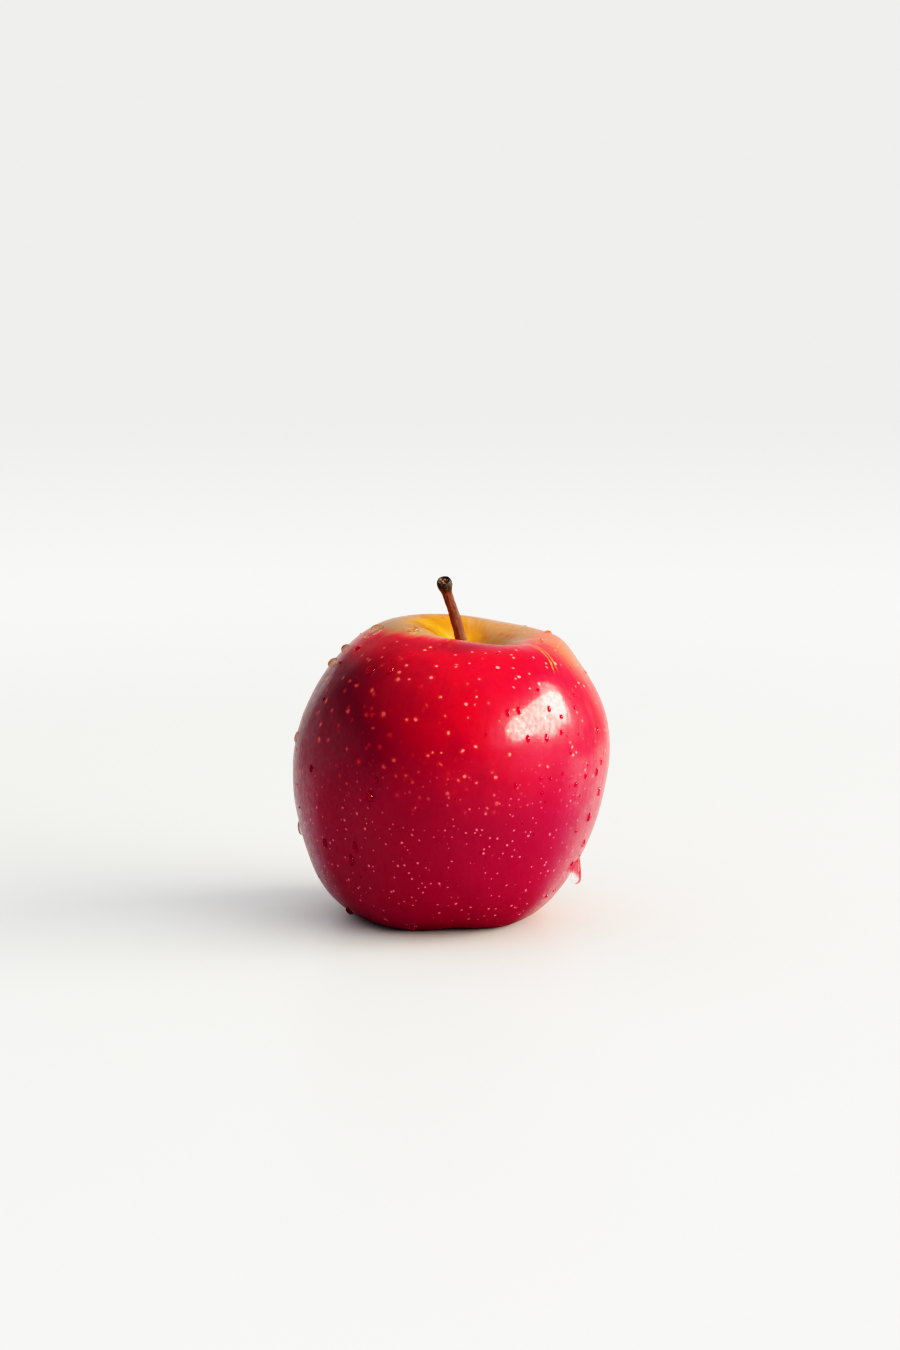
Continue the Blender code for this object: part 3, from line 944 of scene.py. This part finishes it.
# Painted: towards the drop's top the water takes the skin's red, as the skin is seen through it.
from_tip = (spots[:, 2] - DROP_BOTTOM.z / MM) + 1.1 * (spots[:, 0] - DROP_BOTTOM.x / MM)
store(pendant, "painted_skin_red_in_drop", ease(from_tip, 1.6, 3.0))
print("hanging drop", round(drop_length / MM, 1), "mm long")

# %% [markdown]
# Water is clear and bends light less than glass does. In a render a clear drop
# still stops a lamp's light, and the skin under it comes out nearly black. So a
# lamp's light goes straight through it, dimmed on the sunny side and not at all on
# the shaded cheek. The hanging drop's upper part is painted with the skin's red:
# a painted image of the red skin seen through the clear water.

# %% Water: clear, and letting the light through to the skin
COLD_WATER, CLEAR_WATER = (0.97, 0.985, 1.0), (1.0, 1.0, 1.0)
RED_OF_SKIN_SEEN_IN_DROP = (0.93, 0.16, 0.22)
DIMMED, NOT_DIMMED = (0.35, 0.32, 0.32), (1.0, 1.0, 1.0)

water = new_material("clear_water")
tint_share = water.ramp(water.noise(water.place(), 0.6), 0.3, 0.7)
tint = water.mix(tint_share, COLD_WATER, CLEAR_WATER)
# The skin's red seen through the drop, painted into the water.
tint = water.mix(water.value("painted_skin_red_in_drop"), tint, RED_OF_SKIN_SEEN_IN_DROP)
clear = water.finish(base_color=tint, roughness=0.0, ior=1.333, transmission_weight=1.0)
through = water.mix(water.value("deep_red_painted_shade"), DIMMED, NOT_DIMMED)
passing = water.node("BsdfTransparent", {"Color": through})
shadow = water.node("LightPath").outputs["Is Shadow Ray"]
both = water.node("MixShader", {0: shadow, 1: clear.outputs[0], 2: passing.outputs[0]})
water.tree.links.new(both.outputs[0], water.out.inputs["Surface"])
for piece in (beads, mist, pendant):
    dress(piece, water, "water_drop")
print("water finished")

# %% [markdown]
# The wet skin under the drops is a copy of the skin's own finish, so that its
# stripes and freckles run on, but without its gloss and its wax. The beads at the
# left edge have the light behind them and glow, so there it fades to tan.

# %% Water: the wet skin under the drops keeps its colour and loses its shine
LIT_DROP = (0.62, 0.33, 0.21, 1.0)      # a bead at the left edge, with the light behind it
wet_skin = peel.owner.copy()
wet_skin.name = "wet_skin"
shader = wet_skin.node_tree.nodes["Principled BSDF"]
for name, value in (("Roughness", 0.9), ("Coat Weight", 0.0)):
    wet_skin.node_tree.links.remove(shader.inputs[name].links[0])
    shader.inputs[name].default_value = value
shader.inputs["IOR"].default_value = 1.0
nodes, links = wet_skin.node_tree.nodes, wet_skin.node_tree.links
lit = nodes.new("ShaderNodeAttribute")
lit.attribute_name = "lit_from_behind"
glow = nodes.new("ShaderNodeMix")
glow.data_type = "RGBA"
links.new(lit.outputs["Fac"], glow.inputs["Factor"])
links.new(shader.inputs["Base Color"].links[0].from_socket, glow.inputs["A"])
glow.inputs["B"].default_value = LIT_DROP
links.new(glow.outputs["Result"], shader.inputs["Base Color"])
for piece in (beads, mist, pendant):
    plan_colours(piece)
    spots = places(piece)
    off_left = np.abs(spots[:, 1]) / np.maximum(-spots[:, 0], 1e-6)
    store(piece, "lit_from_behind", ease(off_left, 0.30, 0.15))
    piece.data.materials.append(wet_skin)
    for face in piece.data.polygons:
        if piece is pendant:
            on_skin = touching.issuperset(face.vertices)
        else:
            on_skin = len(face.vertices) > 4        # only a bead's base has so many
        face.material_index = 1 if on_skin else 0
print("wet skin under", len(by_hand) + len(back) + len(spatter), "beads")

# %% [markdown]
# ## Table and light
#
# The apple stands on a white, slightly glossy table in a bright room. The table
# is a disc that fades out before its edge, so no line shows behind the fruit. In
# the wax a white table this near would lie over the lower half as a pale haze.
# Dark red card round the foot, out of view, would keep the colour deep. So where
# the table is only mirrored, part of it is such a card: most of it in front, and
# least at the back on the right.

# %% The table
FLOOR_RADIUS = 0.75
FADE_FROM, FADE_TO = 0.22, 0.62
WHITE, WHITE_SMEARED = (0.715, 0.72, 0.715), (0.705, 0.71, 0.705)
CARD_RED = (0.14, 0.016, 0.014, 1.0)

bpy.ops.object.select_all(action="DESELECT")
bpy.ops.mesh.primitive_circle_add(vertices=96, radius=FLOOR_RADIUS, fill_type="NGON")
floor = name_new("table_top")
table = new_material("white_table")
metres = table.place((1.0, 1.0, 1.0))
from_middle = table.node("VectorMath", {0: metres}, operation="LENGTH")
faded = table.ramp(from_middle.outputs["Value"], FADE_FROM, FADE_TO)
smears = table.noise(metres, 9.0, 3.0, 0.6)
white = table.mix(table.ramp(smears, 0.3, 0.7), WHITE, WHITE_SMEARED)
top = table.finish(base_color=white, roughness=table.ramp(smears, 0.3, 0.7, 0.28, 0.34),
                   specular_ior_level=0.25, ior=1.45)
gone = table.node("BsdfTransparent")
seen_by = table.node("LightPath").outputs
mirrored_only = table.math("SUBTRACT", seen_by["Is Glossy Ray"],
                           seen_by["Is Transmission Ray"], clamp=True)
spot = table.node("SeparateXYZ", {0: metres}).outputs
turn = table.math("ARCTAN2", table.plus(spot["Y"], 0.012),
                  table.math("ABSOLUTE", spot["X"]))
on_left = table.math("SUBTRACT", table.ramp(turn, -1.2, -0.35, 0.97, 0.78),
                     table.ramp(turn, 0.0, 0.5, 0.0, 0.5))
on_right = table.ramp(turn, -0.30, 0.45, 0.95, 0.25)
card_share = table.ramp(spot["X"], -0.02, 0.02, on_left, on_right)
in_gloss = table.times(mirrored_only, card_share)
card = table.node("BsdfDiffuse", {"Color": CARD_RED})
shown = table.node("MixShader", {0: in_gloss, 1: top.outputs[0], 2: card.outputs[0]})
both = table.node("MixShader", {0: faded, 1: shown.outputs[0], 2: gone.outputs[0]})
table.tree.links.new(both.outputs[0], table.out.inputs["Surface"])
floor.data.materials.append(table.owner)
print("table", FLOOR_RADIUS * 2, "m across")

# %% [markdown]
# The room is white, and brighter from overhead and from behind the fruit. What the
# wax mirrors decides how deep the red looks, so the wax gets a room of its own: a
# pale wall on the left and one at the back, both strongest low down, and nothing
# bright in front. The camera itself sees only a plain pale backdrop.

# %% The room
WALL_WHITE, WALL_MIRRORED = (0.967, 0.987, 1.0), (1.0, 0.93, 0.87)
BACKDROP_LOW, BACKDROP_HIGH = (1.26, 1.26, 1.22), (0.94, 0.94, 0.925)

room = bpy.data.worlds.new("white_room")
bpy.context.scene.world = room
walls = Paint(room)
direction = walls.node("SeparateXYZ", {0: walls.node("TexCoord").outputs["Generated"]}).outputs
seen_by = walls.node("LightPath").outputs
behind = walls.ramp(direction["Y"], -0.9, 0.2, 0.62, 0.90)
overhead = walls.ramp(direction["Z"], -0.1, 0.9, 0.76, 1.55)
soft_light = walls.times(behind, overhead)

left_wall = walls.times(walls.ramp(direction["X"], 0.2, -0.7, 0.15, 0.42),
                        walls.ramp(direction["Y"], -0.6, 0.1, 0.0, 1.0))
left_wall = walls.times(left_wall, walls.ramp(direction["Z"], 0.05, 0.25, 1.0, 0.3))
back_wall = walls.times(walls.ramp(direction["Y"], 0.35, 0.98, 0.0, 1.0),
                        walls.ramp(direction["X"], 0.8, 0.3, 0.0, 0.62))
back_wall = walls.times(back_wall, walls.ramp(direction["X"], -0.75, -0.05, 0.10, 1.0))
low_wall = walls.times(walls.ramp(direction["Z"], 0.80, 0.02, 0.15, 1.0),
                       walls.ramp(direction["X"], 0.15, 0.75, 1.0, 0.70))
mirrored = walls.times(walls.plus(left_wall, back_wall), low_wall)
strength = walls.node("Mix", {0: seen_by["Is Glossy Ray"], 2: soft_light, 3: mirrored})
wall_colour = walls.mix(seen_by["Is Glossy Ray"], WALL_WHITE, WALL_MIRRORED)
lit = walls.node("Background", {"Color": wall_colour, "Strength": strength.outputs[0]})
rise = walls.ramp(direction["Z"], -0.17, -0.09)
backdrop = walls.mix(rise, BACKDROP_LOW, BACKDROP_HIGH)
seen = walls.node("Background", {"Color": backdrop, "Strength": 1.0})
seen_directly = walls.math("MAXIMUM", seen_by["Is Camera Ray"], seen_by["Is Transmission Ray"])
both = walls.node("MixShader", {0: seen_directly, 1: lit.outputs[0], 2: seen.outputs[0]})
walls.node("OutputWorld", {"Surface": both.outputs[0]})
print("room made of", len(walls.tree.nodes), "nodes")

# %% [markdown]
# One soft window stands on the right, a little to the front and above. Its mirror
# image is the highlight on the shoulder, a slanted patch with a peak at its right
# end and a faint foot at its left. Three oval lights that overlap give that shape.

# %% The window
AIM = Vector((0.0, 0.0, 35.0 * MM))
LIGHT_AWAY = 2.2            # metres


def add_light(name, bearing, rise, size, power, colour, lean=0.0):
    """A flat oval light, turned to the apple. Bearing, rise and lean are in degrees."""
    bearing, rise = math.radians(bearing), math.radians(rise)
    way = Vector((math.cos(bearing) * math.cos(rise), math.sin(bearing) * math.cos(rise),
                  math.sin(rise)))
    bpy.ops.object.light_add(type="AREA", location=AIM + way * LIGHT_AWAY)
    light = bpy.context.object
    light.name = name
    turned = way.to_track_quat("Z", "Y") @ Quaternion((0.0, 0.0, 1.0), math.radians(lean))
    light.rotation_euler = turned.to_euler()
    light.data.shape = "ELLIPSE"
    light.data.size, light.data.size_y = size
    light.data.energy = power
    light.data.color = colour
    light.visible_camera = False
    print(name, "at", [round(x, 2) for x in light.location])


add_light("window", -16.0, 16.5, (3.20, 0.95), 102.0, (1.0, 0.96, 0.78), lean=11.0)
add_light("window_top", 12.0, 23.5, (0.9, 1.3), 15.0, (1.0, 0.95, 0.78), lean=-12.0)
add_light("window_foot", -40.0, 13.0, (2.2, 1.0), 5.0, (1.0, 0.95, 0.84), lean=16.0)

# %% [markdown]
# The plain Standard view keeps the reds as strong as they were mixed, where a
# film-like one would turn them towards pink. A curve deepens the darkest tones a
# little and lets the brightest fade slowly to white.

# %% The view and its tone curve
BRIGHTEST = 1.8             # what is this bright or brighter comes out white
TONES = ((0.05, 0.020), (0.12, 0.085), (0.30, 0.285), (0.60, 0.60), (0.80, 0.78), (1.0, 0.89),
         (1.3, 0.955))
view = bpy.context.scene.view_settings
view.view_transform = "Standard"
view.use_curve_mapping = True
view.curve_mapping.black_level = (0.012, 0.012, 0.010)
view.curve_mapping.white_level = (BRIGHTEST, BRIGHTEST, BRIGHTEST)
contrast = view.curve_mapping.curves[3]
for bright, becomes in TONES:
    contrast.points.new(bright / BRIGHTEST, becomes)
contrast.points[-1].location = (1.0, 0.985)
view.curve_mapping.update()
